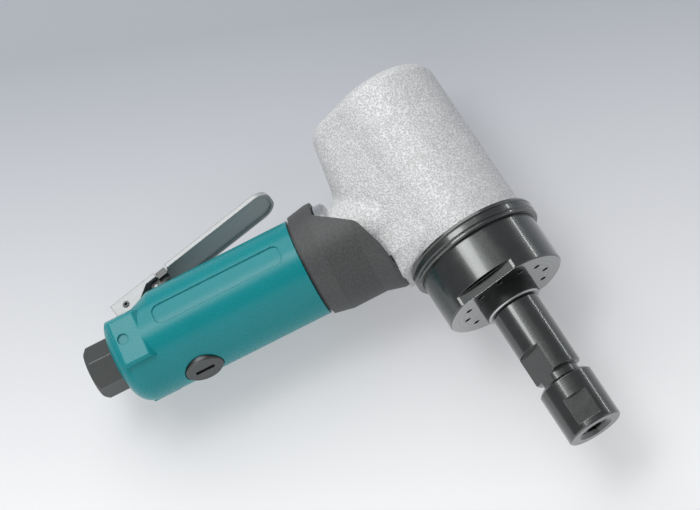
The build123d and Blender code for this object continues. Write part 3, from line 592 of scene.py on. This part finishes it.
class GRINDER_OT_exhaust(Operator):
    """Blackened exhaust cap with a polished face and wrench flats darkened as a painted dark reflection"""

    bl_idname = "grinder.exhaust"
    bl_label = "Exhaust cap"

    def execute(self, context):
        sizes = context.scene.grinder_sizes
        finish = Finish("exhaust_steel")
        lines, rubbed, tone, roughness, normal = blackened(context, finish)
        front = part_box("exhaust_cap")[0].y
        # The cap is wider under the lock ring, so only its front counts.
        points = [vert.co for vert in NODES["exhaust_cap"].data.vertices]
        wide = max(point.x for point in points if point.y < front + 8 * sizes.edge)
        face = finish.below(finish.axes()[1], front + 0.2 * sizes.edge)
        # The wrench flats are darkened towards deep black and lose the oil film: a painted dark reflection.
        flat = finish.below(finish.radius(), wide - sizes.edge)
        tone = finish.mix(flat * 0.8, tone, colour(context, "jet"))
        polished = finish.mix(lines, colour(context, "worn"), colour(context, "plated"))
        dress(
            finish.shade(
                # Rubbed edges take the worn tone: partly wear, partly a painted highlight on the chamfers.
                base_color=finish.mix(rubbed, finish.mix(face, tone, polished), colour(context, "worn")),
                metallic=1.0,
                roughness=roughness * (1 - face * 0.5),
                coat_weight=sizes.oil * (1 - flat * (1 - face)),
                coat_roughness=0.09,
                normal=normal,
            ),
            "exhaust_cap",
        )
        return {"FINISHED"}


class GRINDER_OT_turned(Operator):
    """Turned and blackened steel of the ring, spindle and collet cap"""

    bl_idname = "grinder.turned"
    bl_label = "Turned steel"

    def execute(self, context):
        finish = Finish("blackened_steel")
        _, rubbed, tone, roughness, normal = blackened(context, finish)
        dress(
            finish.shade(
                # Rubbed edges take the worn tone: partly wear, partly a painted highlight on the chamfers.
                base_color=finish.mix(rubbed, tone, colour(context, "worn")),
                metallic=1.0,
                roughness=roughness,
                coat_weight=context.scene.grinder_sizes.oil,
                coat_roughness=0.05,
                normal=normal,
            ),
            "lock_ring", "spindle", "collet_cap",
        )
        return {"FINISHED"}


class GRINDER_OT_hub(Operator):
    """Deep black hub with a painted highlight on its front rim, and the collet in its cap"""

    bl_idname = "grinder.hub"
    bl_label = "Hub"

    def execute(self, context):
        sizes = context.scene.grinder_sizes
        jet = colour(context, "jet")
        finish = Finish("black_hub")
        along = finish.axes()[1]
        # The hub's front rim takes the plated tone: a painted highlight on its chamfer.
        rim_glint = along.math("COMPARE", along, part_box("bearing_sleeve")[0].y, sizes.edge)
        stain = finish.noise(sizes.stain_size, detail=4.0)
        tone = finish.mix(stain, toned(jet, 0.5), jet)
        dress(
            finish.shade(
                base_color=finish.mix(rim_glint, tone, colour(context, "plated")),
                metallic=0.2 + rim_glint * 0.8,
                roughness=0.38 + stain * 0.1,
                normal=finish.soft_edge(sizes.crisp_edge),
            ),
            "bearing_sleeve", "collet",
        )
        return {"FINISHED"}


class GRINDER_OT_fittings(Operator):
    """Phosphated steel of the inlet, regulator, latch and lever pin"""

    bl_idname = "grinder.fittings"
    bl_label = "Fittings"

    def execute(self, context):
        sizes = context.scene.grinder_sizes
        finish = Finish("phosphated_steel")
        grain = finish.noise(sizes.phosphate_size, detail=4.0)
        rubbed = finish.edges(sizes.edge)
        tone = finish.mix(grain, colour(context, "black"), colour(context, "dark"))
        dress(
            finish.shade(
                base_color=finish.mix(rubbed * 0.7, tone, colour(context, "worn")),
                metallic=0.9,
                roughness=0.34 + grain * 0.16,
                normal=finish.bump(grain, sizes.phosphate_depth, finish.soft_edge(sizes.edge)),
            ),
            "inlet_bushing", "flow_regulator", "lock_off_latch", "lever_pin",
        )
        return {"FINISHED"}


class GRINDER_OT_lever(Operator):
    """Plated pressing of the throttle lever, with painted shade along its edges"""

    bl_idname = "grinder.lever"
    bl_label = "Lever"

    def execute(self, context):
        sizes = context.scene.grinder_sizes
        plated = colour(context, "plated")
        finish = Finish("plated_pressing")
        brushed = finish.noise(sizes.brush_size, detail=3.0, place=finish.stretched((0.12, 1, 1)))
        edge_shade = finish.edges(0.8 * sizes.edge)
        tone = finish.mix(brushed, toned(plated, 0.72), plated)
        dress(
            finish.shade(
                # Edges darken towards black: painted shade along the lever's edges.
                base_color=finish.mix(edge_shade * 0.85, tone, colour(context, "black")),
                metallic=0.25,
                roughness=0.36 + brushed * 0.12,
                normal=finish.bump(brushed, sizes.brush_depth, finish.soft_edge(sizes.edge)),
            ),
            "throttle_lever",
        )
        return {"FINISHED"}


class GRINDER_OT_bright(Operator):
    """Bright machined steel of the latch pin, stem, springs, coupling, bearings and motor"""

    bl_idname = "grinder.bright"
    bl_label = "Bright steel"

    def execute(self, context):
        sizes = context.scene.grinder_sizes
        bright = colour(context, "bright")
        finish = Finish("bright_steel")
        lines = finish.lathe(sizes.fine_pitch)
        haze = finish.noise(sizes.haze_size, detail=3.0)
        dress(
            finish.shade(
                base_color=finish.mix(haze, toned(bright, 0.75), bright),
                metallic=1.0,
                roughness=0.20 + lines * 0.12 + haze * 0.06,
                normal=finish.bump(lines, sizes.fine_depth),
            ),
            "latch_pin", "valve_stem", "valve_spring", "coupling_ring", "inlet_screen", "bearing_clip",
            "front_end_plate", "motor_cylinder", "rear_end_plate", "disc_spring", "dowel_pin", "rotor",
            "rotor_spacer", *BEARINGS,
        )
        return {"FINISHED"}


class GRINDER_OT_spring(Operator):
    """Wound valve spring in place of the CAD spring"""

    bl_idname = "grinder.spring"
    bl_label = "Valve spring"

    def execute(self, context):
        sizes = context.scene.grinder_sizes
        node = NODES["valve_spring"]
        slide = next(joint for joint in frame["joints"] if joint["name"] == "valve_slide")
        axis = -Vector(slide["axis"]).normalized()
        side = axis.cross(UP).normalized()
        middle = Vector(sizes.valve_place)
        heights = [axis.dot(vert.co - middle) for vert in node.data.vertices]
        thick = sizes.spring_wire / 2
        low, high = min(heights) + thick, max(heights) - thick
        steps = sizes.spring_turns * sizes.spring_steps
        section = Matrix((side, axis, side.cross(axis))).transposed().to_4x4()
        section.translation = middle + axis * low + side * sizes.spring_radius
        shape = bmesh.new()
        bmesh.ops.create_circle(
            shape, cap_ends=True, segments=sizes.spring_sides, radius=thick, matrix=section)
        bmesh.ops.spin(
            shape, geom=shape.verts[:] + shape.edges[:] + shape.faces[:], cent=middle, axis=axis,
            dvec=axis * ((high - low) / steps), angle=sizes.spring_turns * tau, steps=steps)
        piece = make_piece(context, "valve_spring_coil", shape, node.data.materials[0], sharp=0.8)
        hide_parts("valve_spring")
        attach(piece, "body")
        middle + axis * (low - thick)
        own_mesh(piece)
        return {"FINISHED"}


class GRINDER_OT_inside(Operator):
    """Brass bush, rubber seals, felt muffler and laminate vanes"""

    bl_idname = "grinder.inside"
    bl_label = "Inside"

    def execute(self, context):
        sizes = context.scene.grinder_sizes
        gold = colour(context, "brass")
        brass = Finish("turned_brass")
        tarnish = brass.noise(sizes.tarnish_size, detail=4.0)
        dress(
            brass.shade(
                base_color=brass.mix(tarnish, toned(gold, 0.6), gold), metallic=1.0,
                roughness=0.24 + tarnish * 0.2),
            "valve_bush")
        black = colour(context, "rubber")
        rubber = Finish("seal_rubber")
        bloom = rubber.noise(sizes.bloom_size, detail=4.0)
        dress(
            rubber.shade(base_color=rubber.mix(bloom, black, toned(black, 3)), roughness=0.45 + bloom * 0.25),
            "inlet_o_ring", "neck_o_ring", "regulator_o_ring", "valve_seat")
        wool = colour(context, "felt")
        felt = Finish("muffler_felt")
        fibres = felt.noise(sizes.fibre_size, detail=6.0)
        dress(
            felt.shade(
                base_color=felt.mix(fibres, toned(wool, 0.5), wool), roughness=0.95,
                normal=felt.bump(fibres, sizes.fibre_depth)),
            "muffler_felt")
        brown = colour(context, "laminate")
        laminate = Finish("vane_laminate")
        weave = laminate.noise(sizes.weave_size, detail=3.0, place=laminate.stretched((1, 0.1, 1)))
        dress(
            laminate.shade(
                base_color=laminate.mix(weave, toned(brown, 0.55), brown), roughness=0.5 + weave * 0.15),
            "vanes")
        return {"FINISHED"}


class GRINDER_OT_studio(Operator):
    """Pale floor, soft lamps and the camera"""

    bl_idname = "grinder.studio"
    bl_label = "Studio"

    def execute(self, context):
        studio = context.scene.grinder_studio
        turned = Matrix.Rotation(studio.camera_turn, 4, "Z") @ Matrix.Rotation(studio.camera_tilt, 4, "X")
        turned = turned @ Matrix.Rotation(studio.camera_roll, 4, "Z")
        eye = Vector(studio.camera_place)
        camera = bpy.data.objects.new("camera", bpy.data.cameras.new("camera"))
        camera.matrix_world = Matrix.Translation(eye) @ turned
        camera.data.lens = studio.lens
        camera.data.clip_end = studio.camera_reach
        context.collection.objects.link(camera)
        context.scene.camera = camera

        # The point looked at on the floor, and the picture's directions along the floor.
        height = CAD_BOX[0].z
        sight = turned.to_3x3() @ -UP
        aim = eye + sight * ((height - eye.z) / sight.z)
        rise = turned.to_3x3() @ Vector((0, 1, 0))
        rise.z = 0
        rise.normalize()
        right = rise.cross(UP)
        gleam = sight.normalized()
        gleam.z = -gleam.z

        self.lay_floor(context, height, aim, (rise - right * studio.skew).normalized())
        world = bpy.data.worlds.new("studio")
        world.use_nodes = True
        sky = world.node_tree.nodes["Background"].inputs
        sky["Color"].default_value = (*studio.sky_colour, 1)
        sky["Strength"].default_value = studio.sky
        context.scene.world = world
        for name, start, shift, size, power in (
            ("key", aim, studio.key_place, studio.key_size, studio.key_power),
            ("top", aim + gleam * studio.top_reach, studio.top_place, studio.top_size, studio.top_power),
            ("fill", aim, studio.fill_place, studio.fill_size, studio.fill_power),
            ("strip", aim, studio.strip_place, studio.strip_size, studio.strip_power),
        ):
            place = start + right * shift[0] + rise * shift[1] + UP * shift[2]
            lamp = bpy.data.lights.new(name, "AREA")
            lamp.energy = power
            lamp.shape = "RECTANGLE"
            lamp.size, lamp.size_y = size
            stand = bpy.data.objects.new(name, lamp)
            stand.visible_camera = False
            facing = (aim - place).to_track_quat("-Z", "Y").to_matrix().to_4x4()
            stand.matrix_world = Matrix.Translation(place) @ facing
            context.collection.objects.link(stand)
        context.scene.view_settings.view_transform = "Standard"
        return {"FINISHED"}

    def lay_floor(self, context, height, aim, away):
        """Floor that darkens in one direction as painted shade, with a part of its tone glowing."""
        studio = context.scene.grinder_studio
        mesh = bpy.data.meshes.new("floor")
        shape = bmesh.new()
        bmesh.ops.create_grid(shape, x_segments=1, y_segments=1, size=studio.floor_size / 2)
        bmesh.ops.translate(shape, verts=shape.verts, vec=(0, 0, height))
        shape.to_mesh(mesh)
        shape.free()
        floor = bpy.data.objects.new("floor", mesh)
        context.collection.objects.link(floor)
        finish = Finish("studio_floor")
        upward = finish.add(
            "ShaderNodeVectorMath", {"operation": "DOT_PRODUCT"}, {0: finish.place, 1: away}, output="Value")
        middle = aim.dot(away)
        share = finish.between(upward, low=middle - studio.fade / 2, high=middle + studio.fade / 2)
        near, far = studio.floor_near, studio.floor_far
        lit, glow = 1 - studio.glow, studio.glow
        mesh.materials.append(
            finish.shade(
                # The far tone is painted shade.
                base_color=finish.mix(share, toned(near, lit), toned(far, lit)),
                emission_color=finish.mix(share, toned(near, glow), toned(far, glow)),
                emission_strength=1.0,
                roughness=0.9,
                specular_ior_level=0.0,
            )
        )


PIECES = (
    GRINDER_OT_handle, GRINDER_OT_collar, GRINDER_OT_casting, GRINDER_OT_exhaust, GRINDER_OT_turned,
    GRINDER_OT_hub, GRINDER_OT_fittings, GRINDER_OT_lever, GRINDER_OT_bright, GRINDER_OT_spring,
    GRINDER_OT_inside, GRINDER_OT_studio,
)


class GRINDER_PT_looks(Panel):
    """Sidebar list of the grinder's pieces"""

    bl_idname = "GRINDER_PT_looks"
    bl_label = "Air die grinder"
    bl_space_type = "VIEW_3D"
    bl_region_type = "UI"
    bl_category = "Grinder"

    def draw(self, context):
        for piece in PIECES:
            self.layout.operator(piece.bl_idname)


GROUPS = {
    "grinder_colours": GrinderColours,
    "grinder_sizes": GrinderSizes,
    "grinder_studio": GrinderStudio,
}


def register():
    for item in (*GROUPS.values(), *PIECES, GRINDER_PT_looks):
        bpy.utils.register_class(item)
    for name, group in GROUPS.items():
        setattr(bpy.types.Scene, name, PointerProperty(type=group))


def unregister():
    for name in GROUPS:
        delattr(bpy.types.Scene, name)
    for item in (GRINDER_PT_looks, *reversed(PIECES), *GROUPS.values()):
        bpy.utils.unregister_class(item)


def main():
    register()
    bpy.ops.grinder.handle()
    bpy.ops.grinder.collar()
    bpy.ops.grinder.casting()
    bpy.ops.grinder.exhaust()
    bpy.ops.grinder.turned()
    bpy.ops.grinder.hub()
    bpy.ops.grinder.fittings()
    bpy.ops.grinder.lever()
    bpy.ops.grinder.bright()
    bpy.ops.grinder.spring()
    bpy.ops.grinder.inside()
    bpy.ops.grinder.studio()


if __name__ == "__main__":
    main()
